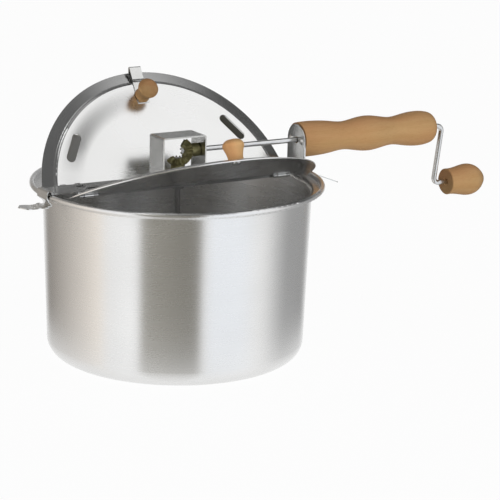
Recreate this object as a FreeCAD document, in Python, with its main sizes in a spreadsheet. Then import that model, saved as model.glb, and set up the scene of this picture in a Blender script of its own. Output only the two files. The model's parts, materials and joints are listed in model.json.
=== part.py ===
import FreeCAD, Part
import math
import os
import Sketcher

# Stovetop popcorn popper, millimetres, +Z up, origin at the centre of the pot's base.
# +X runs along the lid bridge towards the handle, +Y towards the lid half that clips shut.

doc = FreeCAD.newDocument("popcorn_popper")
sheet = doc.addObject("Spreadsheet::Sheet", "Dims")

SIZES = [
    # pot
    ("rim_radius", 122.0, "centre circle of the rolled bead"),
    ("bead_radius", 2.2, "outer radius of the rolled bead"),
    ("rim_height", 147.8, "height of the bead centre above the base"),
    ("pot_wall", 1.2, "sheet of the pot"),
    ("rim_step", 8.8, "wall inside the bead centre circle, just under the lid shelf"),
    ("wall_draft", 4.2, "wall radius lost from the shelf down to the base"),
    ("base_corner", 14.0, "inside radius where base turns into wall"),
    ("shelf_drop", 3.0, "lid shelf mid plane below the bead centre"),
    # lid bridge
    ("bridge_half_width", 14.8, "half width of the bridge between the lids"),
    ("bridge_sheet", 1.2, "sheet of the bridge and its brackets"),
    ("bridge_gap", 0.3, "bridge above the top of the bead"),
    ("bridge_flange", 4.2, "depth of the turned down edges"),
    ("bridge_flange_inset", 22.0, "turned down edges end this far inside the bead circle"),
    ("bridge_end_half_width", 11.4, "half width of the bridge end over the bead"),
    ("bridge_end_inset", 3.3, "bridge end inside the bead centre circle"),
    ("bridge_bend", 1.2, "middle line radius of bends in the bridge and its brackets"),
    ("bridge_taper", 12.0, "length over which the bridge narrows to its ends"),
    ("bridge_shoulder", 0.8, "flat end of the bridge inside the outside of its channel"),
    ("vent_half_width", 2.4, "half width of the two vents in the bridge"),
    ("vent_offset", 4.6, "bridge vents beside the middle line"),
    ("short_vent", 9.0, "short bridge vent, end to end"),
    ("short_vent_inset", 34.0, "middle of the short vent inside the bead centre circle"),
    ("long_vent", 16.0, "long bridge vent, end to end"),
    ("long_vent_inset", 42.0, "middle of the long vent inside the bead centre circle"),
    ("rivet_radius", 1.6, "shank of a rivet"),
    ("rivet_upset_radius", 2.45, "flat upset of a rivet under the bridge"),
    ("rivet_upset", 0.65, "depth of a rivet's upset"),
    ("rivet_head_radius", 2.9, "domed head of a rivet"),
    ("rivet_dome", 1.1, "height of a rivet's head"),
    ("seat_fit", 0.01, "clearance where a pin or shaft is fixed in its hole"),
    ("hole_fit", 0.02, "clearance round a screw or rivet"),
    # lid halves
    ("lid_rim_gap", 4.7, "edge of a lid half inside the bead centre circle"),
    ("lid_sheet", 0.8, "sheet of the lid halves"),
    ("lid_band", 10.0, "width of the sloping outer band"),
    ("lid_band_rise", 1.9, "band's rise from its edge to the bevel"),
    ("lid_bevel", 1.8, "width of the bevel up to the panel"),
    ("lid_bend", 2.0, "middle line radius of the bends beside the bevel"),
    ("lid_step", 3.5, "panel above the band's edge"),
    ("lid_seat_gap", 0.35, "lid edge above the shelf when shut"),
    ("hinge_reach", 2.4, "hinge axis beyond the edge of the bridge"),
    ("hinge_barrel_radius", 1.8, "outside of a hinge barrel"),
    ("hinge_pin_radius", 0.8, "lid hinge pin"),
    ("hinge_play", 0.08, "running clearance round a pin or shaft"),
    ("hinge_inset", 30.0, "middle of a lid hinge inside the bead centre circle"),
    ("hinge_lid_barrel", 8.0, "length of the barrel on the lid"),
    ("hinge_side_barrel", 4.0, "length of a barrel on the bridge"),
    ("hinge_side_gap", 0.3, "end gap between barrels"),
    ("hinge_side_radius", 1.5, "outside of a barrel on the bridge"),
    ("hinge_side_web", 1.2, "web from a barrel on the bridge to its flange"),
    ("hinge_web_drop", 0.3, "middle of that web below the hinge axis"),
    ("hinge_web_reach", 3.0, "web from a lid's barrel into its panel"),
    ("hinge_relief", 0.5, "relief in a lid's edge round the bridge's barrels"),
    ("hinge_pin_end", 0.3, "lid hinge pin beyond its outer barrels"),
    ("slot_length", 28.0, "steam slot, end to end"),
    ("slot_width", 8.0, "steam slot"),
    ("slot_inset", 23.0, "steam slot centre inside the lid edge"),
    ("slot_bearing", 35.0, "steam slot centre round from the bridge"),
    ("slot_angle", 57.5, "steam slot angle to the bridge"),
    ("slot_skew", 2.2, "both slots turned about the pot's axis"),
    ("tongue_reach", 10.8, "tongue lanced down from the slot's inner edge"),
    ("tongue_root", 0.6, "tongue's hold behind the slot's edge"),
    ("tongue_tilt", 20.0, "fall of the tongue, degrees"),
    ("rear_lid_open", 54.2, "opening angle of the rear half"),
    ("front_lid_open", 24.5, "opening angle of the front half"),
    # lid knobs
    ("knob_inset", 23.6, "knob inside the lid edge"),
    ("rear_knob_shift", -2.6, "rear knob along the bridge from the middle"),
    ("front_knob_shift", 5.6, "front knob along the bridge from the middle"),
    ("knob_height", 18.0, "lid knob"),
    ("knob_radius", 8.9, "widest part of a lid knob"),
    ("knob_neck_radius", 6.3, "foot of a lid knob"),
    ("screw_radius", 1.9, "knob and handle screws"),
    ("screw_head_radius", 3.6, "knob screw head"),
    ("screw_head_depth", 2.0, "knob screw head"),
    # rear lid catch
    ("catch_width", 10.8, "strip of the catch"),
    ("catch_sheet", 0.9, "sheet of the catch"),
    ("catch_tail", 7.0, "strip from the knob's middle towards the bridge"),
    ("catch_gap", 0.55, "catch above the lid where it dips to the edge"),
    ("catch_fold", 0.9, "middle line radius of the fold over the bead"),
    ("catch_crown", 2.3, "corner of the fold above the bead"),
    ("catch_tip", 1.6, "turned up end of the folded strip"),
    # gear bracket
    ("frame_half_length", 20.55, "outside of the gear bracket along the bridge"),
    ("frame_half_width", 12.0, "half width of the gear bracket strip"),
    ("frame_over", 14.3, "top of the gear bracket above the crank axis"),
    ("frame_foot", 8.0, "inward foot of a bracket leg"),
    ("frame_rivet_inset", 4.8, "gear bracket rivets inside the outside of its legs"),
    ("frame_rivet_offset", 7.2, "gear bracket rivets beside the middle line"),
    ("frame_pip_radius", 0.8, "small tooling hole of the gear bracket"),
    # crank and handle
    ("crank_height", 26.3, "crank axis above the bead centre"),
    ("rod_radius", 2.3, "crank rod"),
    ("crank_start", 4.2, "rod end inside its gear"),
    ("crank_clear", 13.0, "outer corner of the crank beyond the handle"),
    ("crank_lean", 6.7, "lower corner of the crank, back towards the pot"),
    ("crank_throw", 52.6, "crank axis to crank knob axis"),
    ("crank_bend_radius", 4.7, "bends of the crank rod, on its centre line"),
    ("crank_tip_inset", 11.0, "end of the rod inside the round end of the crank knob"),
    ("plate_inset", 5.0, "handle bracket plate inside the bead centre circle"),
    ("plate_half_width", 13.8, "half width of the handle bracket plate"),
    ("plate_foot", 22.0, "foot of the handle bracket"),
    ("plate_rivet_inset", 13.6, "handle bracket rivets inside its plate"),
    ("plate_rivet_offset", 6.0, "handle bracket rivets beside the middle line"),
    ("handle_length", 142.0, "wooden handle"),
    ("handle_bulge", 15.5, "radius at the swells of the handle"),
    ("handle_waist", 12.4, "radius at the waists of the handle"),
    ("handle_screw_offset", 8.4, "handle screws beside the rod"),
    ("handle_screw_length", 15.0, "handle screw in the wood"),
    ("handle_screw_head", 3.1, "radius of a handle screw's domed head"),
    ("rod_hole_gap", 0.7, "hole of the handle bracket round the rod"),
    ("crank_knob_gap", 14.0, "flat end of the crank knob beyond the lower corner"),
    ("crank_knob_length", 39.2, "crank knob"),
    ("crank_knob_radius", 14.4, "widest part of the crank knob"),
    ("crank_knob_neck", 11.9, "radius of the flat end of the crank knob"),
    # mitre gears
    ("gear_teeth", 12, "teeth on each mitre gear"),
    ("gear_pitch_radius", 8.9, "pitch radius at the large end"),
    ("gear_addendum", 1.15, "tooth above the pitch cone"),
    ("gear_dedendum", 1.65, "tooth space below the pitch cone"),
    ("gear_face", 5.0, "tooth length along the pitch cone"),
    ("gear_tooth_share", 0.40, "share of the pitch taken by a tooth"),
    ("crank_hub_radius", 5.6, "hub of the crank gear"),
    ("stirrer_hub_radius", 6.0, "hub of the stirrer gear"),
    ("set_screw_radius", 1.5, "set screw of a gear"),
    ("set_screw_place", 3.4, "set screw from the end of the gear's hub"),
    # stirrer
    ("shaft_radius", 2.4, "stirrer shaft"),
    ("hub_floor_gap", 0.4, "stirrer hub above the pot floor"),
    ("stirrer_base_radius", 5.6, "hub that holds the stirrer wires"),
    ("stirrer_base_height", 17.0, "hub that holds the stirrer wires"),
    ("wire_spacing", 4.8, "short wire above the long wire"),
    ("wire_upturn", 15.0, "turned up ends of the stirrer wires"),
    ("wire_radius", 1.6, "stirrer wire"),
    ("wire_wall_gap", 12.0, "long stirrer wire inside the foot of the wall"),
    ("wire_short_reach", 62.0, "sweep radius of the short stirrer wire"),
    ("wire_floor_gap", 1.6, "long wire above the pot floor"),
    ("bush_wall", 2.0, "wall of the bush round the shaft"),
    ("bush_flange", 2.2, "flange of the bush, out from its wall"),
    ("collar_radius", 5.5, "collar under the bush"),
    ("collar_height", 6.0, "collar under the bush"),
    # rim clips
    ("clip_axis_inset", 1.6, "clip hinge inside the bead centre circle"),
    ("clip_axis_rise", 1.6, "clip hinge above the top of the bead"),
    ("clip_barrel_radius", 1.5, "outside of a clip hinge barrel"),
    ("clip_pin_radius", 0.7, "clip hinge pin"),
    ("clip_sheet", 0.8, "sheet of the clips"),
    ("clip_half_width", 9.2, "half width of a clip over the bead"),
    ("clip_barrel_half", 5.9, "half length of the clip's own barrel"),
    ("clip_barrel_gap", 0.3, "end gap between the clip's barrel and the bridge's"),
    ("clip_barrel_inset", 1.0, "bridge's clip barrels inside the sides of its ends"),
    ("clip_pin_inset", 0.7, "clip pin inside the sides of the bridge's ends"),
    ("clip_gap", 0.35, "clip clear of the bead"),
    ("clip_lip_drop", 5.6, "hook of a clip below the bead"),
    ("clip_lip_inset", 3.2, "hook of a clip inside the bead centre circle"),
    ("tab_root", 14.0, "bend of a thumb tab out from the hook"),
    ("left_tab_reach", 24.0, "tip of the left thumb tab beyond the bead circle"),
    ("left_root_rise", -0.7, "bend of the left thumb tab above the hook"),
    ("left_tab_drop", -0.8, "fall of the left thumb tab"),
    ("right_tab_reach", 39.0, "tip of the right thumb tab beyond the bead circle"),
    ("right_root_rise", 3.4, "bend of the right thumb tab above the hook"),
    ("right_tab_drop", 10.7, "fall of the right thumb tab"),
    ("tab_half_width", 8.0, "half width of a thumb tab"),
    ("tab_neck_inset", 1.8, "a thumb tab's neck inside its half width"),
]
for row, (alias, value, note) in enumerate(SIZES, 1):
    sheet.set("A%d" % row, alias)
    sheet.set("B%d" % row, str(value))
    sheet.set("C%d" % row, note)
    sheet.setAlias("B%d" % row, alias)
doc.recompute()


class Sizes:
    """The sheet's values as attributes."""

    def __getattr__(self, alias):
        return float(sheet.get(alias))


d = Sizes()
V = FreeCAD.Vector
PARTS = []

# ---------------------------------------------------------------- derived places
BEAD_TOP = d.rim_height + d.bead_radius
TOP_RADIUS = d.rim_radius - d.rim_step
BASE_RADIUS = TOP_RADIUS - d.wall_draft
BRIDGE_LOW = BEAD_TOP + d.bridge_gap
BRIDGE_TOP = BRIDGE_LOW + d.bridge_sheet
CRANK_Z = d.rim_height + d.crank_height
SHELF_TOP = d.rim_height - d.shelf_drop + d.pot_wall / 2
BAND_LOW = SHELF_TOP + d.lid_seat_gap
PANEL_TOP = BAND_LOW + d.lid_sheet + d.lid_step
HINGE_Z = PANEL_TOP - d.hinge_barrel_radius
FLANGE_END = d.rim_radius - d.bridge_flange_inset
HINGE_STATION = d.rim_radius - d.hinge_inset
LID_RADIUS = d.rim_radius - d.lid_rim_gap
PANEL_RADIUS = LID_RADIUS - d.lid_band - d.lid_bevel
KNOB_Y = LID_RADIUS - d.knob_inset
CLIP_X = d.rim_radius - d.clip_axis_inset
CLIP_Z = BEAD_TOP + d.clip_axis_rise
BRIDGE_END = d.rim_radius - d.bridge_end_inset
HINGE_Y = d.bridge_half_width + d.hinge_reach
FRAME_TOP = CRANK_Z + d.frame_over
PLATE_X = d.rim_radius - d.plate_inset
HANDLE_X0 = PLATE_X + d.bridge_sheet
CRANK_BEND_X = HANDLE_X0 + d.handle_length + d.crank_clear
CRANK_LOW_X = CRANK_BEND_X - d.crank_lean
CRANK_KNOB_X = CRANK_LOW_X + d.crank_knob_gap
CRANK_TIP_X = CRANK_KNOB_X + d.crank_knob_length - d.crank_tip_inset
WIRE_REACH = BASE_RADIUS - d.wire_wall_gap
PLAY = d.hinge_play
SCREW_HOLE = "Dims.screw_radius + Dims.hole_fit"
RIVET_HOLE = "Dims.rivet_radius + Dims.hole_fit"
THROUGH = "2 * Dims.rim_height"     # a cut right through the lid set, from the base plane up
CLEAR = 5.0                         # a cutting outline passes the metal by this much
NIP = 0.01                          # a full round corner is this much short of its half width


# ---------------------------------------------------------------- helpers
def bound(obj, prop, expression):
    obj.setExpression(prop, expression)


def new_body(label):
    body = doc.addObject("PartDesign::Body", label)
    body.Label = label
    PARTS.append(body)
    return body


def origin(body, role):
    return [f for f in body.Origin.OriginFeatures if f.Role == role][0]


def new_sketch(body, name, role, offset=None):
    sketch = body.newObject("Sketcher::SketchObject", name)
    sketch.AttachmentSupport = [(origin(body, role), "")]
    sketch.MapMode = "FlatFace"
    if offset is not None:
        sketch.AttachmentOffset = offset
    return sketch


def shift(z):
    """A sketch plane moved along its own normal."""
    return FreeCAD.Placement(V(0, 0, z), FreeCAD.Rotation())


def rounded(nodes):
    """Lines and arcs of a closed outline; a node is (x, y) or (x, y, corner radius)."""
    count = len(nodes)
    ends = []
    for i, node in enumerate(nodes):
        here = V(node[0], node[1], 0)
        radius = node[2] if len(node) > 2 else 0.0
        if radius <= 0:
            ends.append((here, here, None))
            continue
        before = V(*nodes[i - 1][:2], 0) - here
        after = V(*nodes[(i + 1) % count][:2], 0) - here
        half = before.getAngle(after) / 2
        if half > math.pi / 2 - 1e-4:
            ends.append((here, here, None))
            continue
        before.normalize()
        after.normalize()
        run = radius / math.tan(half)
        middle = before + after
        middle.normalize()
        top = here + middle * (radius / math.sin(half) - radius)
        ends.append((here + before * run, here + after * run, top))
    edges = []
    for i in range(count):
        start, end, top = ends[i]
        if top is not None:
            edges.append(Part.Arc(start, top, end))
        follow = ends[(i + 1) % count][0]
        if end.distanceToPoint(follow) > 1e-4:
            edges.append(Part.LineSegment(end, follow))
    return edges


def strip(path, sheet_thickness):
    """Closed outline of a bent sheet from its middle line: nodes (x, y, bend radius)."""
    sides = []
    for side in (1, -1):
        off = side * sheet_thickness / 2
        line = []
        for i, node in enumerate(path):
            here = V(node[0], node[1], 0)
            radius = node[2] if len(node) > 2 else 0.0
            normals = []
            for a, b in ((i - 1, i), (i, i + 1)):
                if a < 0 or b >= len(path):
                    continue
                run = V(*path[b][:2], 0) - V(*path[a][:2], 0)
                run.normalize()
                normals.append((V(-run.y, run.x, 0), run))
            if len(normals) == 1:
                point = here + normals[0][0] * off
                line.append((point.x, point.y, 0.0))
                continue
            (n1, r1), (n2, r2) = normals
            point = here + (n1 + n2) * (off / (1 + n1.dot(n2)))
            turn = r1.x * r2.y - r1.y * r2.x
            line.append((point.x, point.y, max(0.05, radius - off * math.copysign(1, turn))))
        sides.append(line)
    return sides[0] + sides[1][::-1]


def draw(sketch, edges):
    """Put a chain of edges into a sketch and join it end to end."""
    first = sketch.GeometryCount
    for edge in edges:
        sketch.addGeometry(edge, False)
    chain = list(range(first, sketch.GeometryCount))
    for a, b in zip(chain, chain[1:] + chain[:1]):
        best = min(
            ((i, j) for i in (1, 2) for j in (1, 2)),
            key=lambda ij: sketch.getPoint(a, ij[0]).distanceToPoint(sketch.getPoint(b, ij[1])),
        )
        sketch.addConstraint(Sketcher.Constraint("Coincident", a, best[0], b, best[1]))


def outline(body, name, role, nodes, offset=None):
    sketch = new_sketch(body, name, role, offset)
    draw(sketch, rounded(nodes))
    return sketch


def circle(body, name, role, x, y, radius, offset=None):
    """A circle whose radius follows an expression over the sheet."""
    sketch = new_sketch(body, name, role, offset)
    geometry = sketch.addGeometry(
        Part.Circle(V(x, y, 0), V(0, 0, 1), float(sheet.evalExpression(radius))), False)
    sketch.addConstraint(Sketcher.Constraint("DistanceX", -1, 1, geometry, 3, x))
    sketch.addConstraint(Sketcher.Constraint("DistanceY", -1, 1, geometry, 3, y))
    index = sketch.addConstraint(
        Sketcher.Constraint("Radius", geometry, float(sheet.evalExpression(radius))))
    bound(sketch, "Constraints[%d]" % index, radius)
    return sketch


def pad(body, sketch, length, symmetric=False, reverse=False, kind="PartDesign::Pad"):
    feature = body.newObject(kind, sketch.Name + "_" + kind.split("::")[1].lower())
    feature.Profile = sketch
    bound(feature, "Length", length)
    feature.SideType = "Symmetric" if symmetric else "One side"
    feature.Reversed = reverse
    sketch.Visibility = False
    doc.recompute()
    return feature


def pocket(body, sketch, length, symmetric=False, reverse=False):
    volume = body.Shape.Volume
    feature = pad(body, sketch, length, symmetric, reverse, "PartDesign::Pocket")
    if body.Shape.Volume > volume - 1e-3:
        raise RuntimeError("%s cuts nothing" % feature.Name)
    return feature


def revolve(body, sketch, axis="V_Axis", kind="PartDesign::Revolution"):
    feature = body.newObject(kind, sketch.Name + "_turn")
    feature.Profile = sketch
    feature.ReferenceAxis = (sketch, [axis])
    feature.Angle = 360
    doc.recompute()
    return feature


def turned(label, nodes, place=None, role="XZ_Plane"):
    """A turned piece: profile (radius, height) about its own Z axis."""
    body = new_body(label)
    revolve(body, outline(body, label + "_profile", role, nodes))
    if place is not None:
        body.Placement = place
    return body


def along_x(x, z, y=0.0, left=False):
    """Own Z axis laid along +X, or along -X."""
    return FreeCAD.Placement(V(x, y, z), FreeCAD.Rotation(V(0, 1, 0), -90 if left else 90))


def hinged(place, side):
    """Swing a closed lid piece about its hinge: side +1 is the rear half, -1 the front."""
    angle = d.rear_lid_open if side > 0 else -d.front_lid_open
    pivot = V(0, side * HINGE_Y, HINGE_Z)
    turn = FreeCAD.Placement(V(0, 0, 0), FreeCAD.Rotation(V(1, 0, 0), angle), pivot)
    return turn.multiply(place)


def lines(corners):
    """Straight edges through a run of points."""
    points = [V(x, y, 0) for x, y in corners]
    return [Part.LineSegment(a, b) for a, b in zip(points, points[1:])]


def knob_x(side):
    """Place of a lid knob along the bridge."""
    return d.rear_knob_shift if side > 0 else d.front_knob_shift


def group(label, shapes):
    """Identical small pieces kept as separate solids of one sub-part."""
    feature = doc.addObject("Part::Feature", label)
    feature.Label = label
    feature.Shape = Part.makeCompound(shapes)
    PARTS.append(feature)
    return feature


def rivet(x, y):
    """Rivet along Z through the bridge and a bracket's foot: domed head above, flat upset below."""
    low, high = BRIDGE_LOW, BRIDGE_TOP + d.bridge_sheet
    head, dome = d.rivet_head_radius, d.rivet_dome
    ball = (head ** 2 + dome ** 2) / (2 * dome)
    top = Part.makeSphere(ball, V(0, 0, high + dome - ball))
    block = Part.makeCylinder(head, dome + 1, V(0, 0, high))
    shank = Part.makeCylinder(d.rivet_radius, high - low, V(0, 0, low))
    foot = Part.makeCylinder(d.rivet_upset_radius, d.rivet_upset, V(0, 0, low - d.rivet_upset))
    solid = top.common(block).fuse([shank, foot]).removeSplitter()
    solid.translate(V(x, y, 0))
    return solid


# ---------------------------------------------------------------- pot
def make_pot():
    """One sheet: flat base, drafted wall, lid shelf and a full outward roll at the rim."""
    half = d.pot_wall / 2
    curl = d.bead_radius - half
    shelf = d.rim_height - d.shelf_drop
    riser = d.rim_radius - curl
    path = [
        (0, half),
        (BASE_RADIUS - half, half, d.base_corner),
        (TOP_RADIUS - half, shelf, 3.0),
        (riser, shelf, 1.2),
        (riser, d.rim_height + curl, curl),
        (d.rim_radius + curl, d.rim_height + curl, curl),
        (d.rim_radius + curl, d.rim_height - curl, curl),
        (d.rim_radius - 0.3, d.rim_height - curl),
    ]
    turned("pot", strip(path, d.pot_wall))


# ---------------------------------------------------------------- lid bridge
def make_bridge():
    """Channel strip between the lid halves, with flat ends that lie over the bead."""
    body = new_body("bridge")
    mid = BRIDGE_TOP - d.bridge_sheet / 2
    edge = d.bridge_half_width - d.bridge_sheet / 2
    channel = [
        (-edge, mid - d.bridge_flange),
        (-edge, mid, d.bridge_bend),
        (edge, mid, d.bridge_bend),
        (edge, mid - d.bridge_flange),
    ]
    pad(body, outline(body, "bridge_channel", "YZ_Plane", strip(channel, d.bridge_sheet)),
        "2 * (Dims.rim_radius - Dims.bridge_flange_inset)", symmetric=True)
    run = FLANGE_END - 1.0
    neck = run + d.bridge_taper
    wide, slim = d.bridge_half_width - d.bridge_shoulder, d.bridge_end_half_width
    ease, corner = 4.0, 1.5
    half_end = [(run, wide), (run + 2, wide, ease), (neck, slim, ease), (BRIDGE_END, slim, corner)]
    ends = half_end + [(n[0], -n[1]) + n[2:] for n in half_end[::-1]]
    for side in (1, -1):
        nodes = [(side * n[0],) + tuple(n[1:]) for n in ends]
        name = "bridge_end_" + ("right" if side > 0 else "left")
        pad(body, outline(body, name, "XY_Plane", nodes, shift(BRIDGE_LOW)), "Dims.bridge_sheet")
    # barrels for the clips, two at each end
    inner = d.clip_barrel_half + d.clip_barrel_gap
    barrel_length = d.bridge_end_half_width - d.clip_barrel_inset - inner
    length = ("Dims.bridge_end_half_width - Dims.clip_barrel_inset"
              " - Dims.clip_barrel_half - Dims.clip_barrel_gap")
    root = BRIDGE_END - 0.5
    for side in (1, -1):
        for pair in (1, -1):
            name = "clip_barrel_%d%d" % (side + 1, pair + 1)
            high = -inner if pair < 0 else inner + barrel_length
            nodes = [(side * root, BRIDGE_LOW), (side * CLIP_X, BRIDGE_LOW),
                     (side * CLIP_X, BRIDGE_TOP), (side * root, BRIDGE_TOP)]
            sketch = outline(body, name + "_web", "XZ_Plane", nodes, shift(-high))
            pad(body, sketch, length)
            barrel = circle(body, name, "XZ_Plane", side * CLIP_X, CLIP_Z,
                            "Dims.clip_barrel_radius", shift(-high))
            pad(body, barrel, length)
    for side in (1, -1):
        name = "clip_bore_" + ("right" if side > 0 else "left")
        pocket(body, circle(body, name, "XZ_Plane", side * CLIP_X, CLIP_Z,
                            "Dims.clip_pin_radius + Dims.seat_fit"), "4 * Dims.bridge_end_half_width",
               symmetric=True)
    # barrels for the lid hinges, two round each lid barrel
    root = d.bridge_half_width - 0.5
    middle = HINGE_Z - d.hinge_web_drop
    web_low, web_high = middle - d.hinge_side_web / 2, middle + d.hinge_side_web / 2
    for side in (1, -1):
        for station in (1, -1):
            for outer in (1, -1):
                name = "lid_barrel_%d%d%d" % (side + 1, station + 1, outer + 1)
                near = d.hinge_lid_barrel / 2 + d.hinge_side_gap
                start = HINGE_STATION + (near if outer > 0 else -near - d.hinge_side_barrel)
                low = start if station > 0 else -start - d.hinge_side_barrel
                web = [(side * root, web_low), (side * HINGE_Y, web_low),
                       (side * HINGE_Y, web_high), (side * root, web_high)]
                pad(body, outline(body, name + "_web", "YZ_Plane", web, shift(low)),
                    "Dims.hinge_side_barrel")
                pad(body, circle(body, name, "YZ_Plane", side * HINGE_Y, HINGE_Z,
                                 "Dims.hinge_side_radius", shift(low)),
                    "Dims.hinge_side_barrel")
        pocket(body, circle(body, "lid_hinge_bore_%d" % (side + 1), "YZ_Plane",
                            side * HINGE_Y, HINGE_Z, "Dims.hinge_pin_radius + Dims.seat_fit"),
               "2 * Dims.rim_radius", symmetric=True)
    # holes for the stirrer bush, the bracket rivets and two steam vents
    pocket(body, circle(body, "bush_hole", "XY_Plane", 0, 0,
                        "Dims.shaft_radius + Dims.bush_wall + Dims.hole_fit"), THROUGH, reverse=True)
    for i, (x, y) in enumerate(frame_rivet_places() + plate_rivet_places()):
        hole = circle(body, "rivet_hole_%d" % i, "XY_Plane", x, y, RIVET_HOLE)
        pocket(body, hole, THROUGH, reverse=True)
    tall = d.vent_half_width
    for name, inset, length, y in (
            ("short_vent", d.short_vent_inset, d.short_vent, d.vent_offset),
            ("long_vent", d.long_vent_inset, d.long_vent, -d.vent_offset)):
        x, half = inset - d.rim_radius, length / 2
        nodes = [(x + a * half, y + b * tall, tall - NIP)
                 for a, b in ((-1, -1), (1, -1), (1, 1), (-1, 1))]
        pocket(body, outline(body, name, "XY_Plane", nodes), THROUGH, reverse=True)


def frame_rivet_places():
    reach, beside = d.frame_half_length - d.frame_rivet_inset, d.frame_rivet_offset
    return [(sx * reach, sy * beside) for sx in (1, -1) for sy in (1, -1)]


def plate_rivet_places():
    return [(PLATE_X - d.plate_rivet_inset, sy * d.plate_rivet_offset) for sy in (1, -1)]


def make_pins():
    span = d.hinge_lid_barrel + 2 * (d.hinge_side_gap + d.hinge_side_barrel + d.hinge_pin_end)
    pins = []
    for side in (1, -1):
        for station in (1, -1):
            start = V(station * HINGE_STATION - span / 2, side * HINGE_Y, HINGE_Z)
            pins.append(Part.makeCylinder(d.hinge_pin_radius, span, start, V(1, 0, 0)))
    group("lid_hinge_pins", pins)
    reach = d.bridge_end_half_width - d.clip_pin_inset
    group("clip_hinge_pins", [
        Part.makeCylinder(d.clip_pin_radius, 2 * reach, V(side * CLIP_X, -reach, CLIP_Z), V(0, 1, 0))
        for side in (1, -1)])


# ---------------------------------------------------------------- lid halves
def make_lid(label, side):
    """Half moon: raised panel, bevel and sloping band, straight edge rolled to the hinge."""
    body = new_body(label)
    edge = BAND_LOW + d.lid_sheet / 2
    panel = PANEL_TOP - d.lid_sheet / 2
    path = [(0, panel), (PANEL_RADIUS, panel, d.lid_bend),
            (PANEL_RADIUS + d.lid_bevel, edge + d.lid_band_rise, d.lid_bend), (LID_RADIUS, edge)]
    revolve(body, outline(body, label + "_section", "XZ_Plane", strip(path, d.lid_sheet)))
    wide = LID_RADIUS + CLEAR
    cut = [(-wide, side * HINGE_Y), (wide, side * HINGE_Y),
           (wide, -side * wide), (-wide, -side * wide)]
    pocket(body, outline(body, label + "_trim", "XY_Plane", cut), THROUGH, reverse=True)
    # barrels of the lid
    for station in (1, -1):
        name = "%s_barrel_%d" % (label, station + 1)
        low = station * HINGE_STATION - d.hinge_lid_barrel / 2
        pad(body, circle(body, name, "YZ_Plane", side * HINGE_Y, HINGE_Z,
                         "Dims.hinge_barrel_radius", shift(low)), "Dims.hinge_lid_barrel")
        root = HINGE_Y + d.hinge_web_reach
        web = [(side * HINGE_Y, PANEL_TOP - d.lid_sheet), (side * HINGE_Y, PANEL_TOP),
               (side * root, PANEL_TOP), (side * root, PANEL_TOP - d.lid_sheet)]
        pad(body, outline(body, name + "_web", "YZ_Plane", web, shift(low)), "Dims.hinge_lid_barrel")
        pocket(body, circle(body, name + "_bore", "YZ_Plane", side * HINGE_Y, HINGE_Z,
                            "Dims.hinge_pin_radius + Dims.hinge_play", shift(low - 1)),
               "Dims.hinge_lid_barrel + 2", reverse=True)
    # relief round the bridge's own barrels, so the straight edge clears them
    for station in (1, -1):
        for outer in (1, -1):
            a = HINGE_STATION + outer * (d.hinge_lid_barrel / 2 + NIP)
            b = a + outer * (d.hinge_side_barrel + d.hinge_side_gap + 1.0)
            low, high = sorted((station * a, station * b))
            edge = side * (HINGE_Y - 1)
            deep = side * (HINGE_Y + d.hinge_barrel_radius + d.hinge_relief)
            nodes = [(low, edge), (high, edge), (high, deep), (low, deep)]
            name = "%s_relief_%d%d" % (label, station + 1, outer + 1)
            pocket(body, outline(body, name, "XY_Plane", nodes), THROUGH, reverse=True)
    if side > 0:
        cut_slots(body, label)
    pocket(body, circle(body, label + "_screw_hole", "XY_Plane", knob_x(side), side * KNOB_Y,
                        SCREW_HOLE), THROUGH, reverse=True)
    body.Placement = hinged(FreeCAD.Placement(), side)


def cut_slots(body, label):
    """Two steam slots, each over a tongue lanced down from its inner edge."""
    half, width = d.slot_length / 2, d.slot_width / 2
    ring = LID_RADIUS - d.slot_inset
    frames = []
    for station in (1, -1):
        bearing = math.radians(90 - station * (90 - d.slot_bearing) + d.slot_skew)
        outward = 90 - station * d.slot_angle + d.slot_skew
        frame = FreeCAD.Placement(
            V(ring * math.cos(bearing), ring * math.sin(bearing), 0),
            FreeCAD.Rotation(V(0, 0, 1), outward))
        frames.append(frame)
        nodes = []
        for a, b in ((-1, -1), (1, -1), (1, 1), (-1, 1)):
            point = frame.multVec(V(a * width, b * half, 0))
            nodes.append((point.x, point.y, width - NIP))
        name = "%s_slot_%d" % (label, station + 1)
        pocket(body, outline(body, name, "XY_Plane", nodes), THROUGH, reverse=True)
    for i, frame in enumerate(frames, 1):
        tongue = body.newObject("PartDesign::AdditiveBox", "%s_tongue_%d" % (label, i))
        bound(tongue, "Length", "Dims.tongue_reach")
        bound(tongue, "Width", "Dims.slot_length")
        bound(tongue, "Height", "Dims.lid_sheet")
        root = FreeCAD.Placement(V(-width - d.tongue_root, -half, PANEL_TOP - d.lid_sheet),
                                 FreeCAD.Rotation(V(0, 1, 0), d.tongue_tilt))
        tongue.Placement = frame.multiply(root)
        body.Tip = tongue
        doc.recompute()


def make_lid_knob(label, side, seat):
    """Turned wooden knob: waisted foot, swelling head, blind bore for its screw."""
    body = new_body(label)
    sketch = new_sketch(body, label + "_profile", "XZ_Plane")
    height, neck, wide = d.knob_height, d.knob_neck_radius, d.knob_radius
    bore, deep = d.screw_radius + d.hole_fit, d.knob_height * 0.7
    foot, crown = neck + 0.4, wide * 0.5
    curve = Part.BSplineCurve()
    curve.interpolate([V(radius, height * share, 0) for radius, share in (
        (foot, 0), (neck, 0.14), (foot, 0.32), (wide - 0.8, 0.56), (wide, 0.73),
        (wide - 1.7, 0.92), (crown, 1))])
    corners = [(crown, height), (0, height), (0, deep), (bore, deep), (bore, 0), (foot, 0)]
    draw(sketch, [curve] + lines(corners))
    revolve(body, sketch)
    place = FreeCAD.Placement(V(knob_x(side), side * KNOB_Y, seat), FreeCAD.Rotation())
    body.Placement = hinged(place, side)


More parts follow.
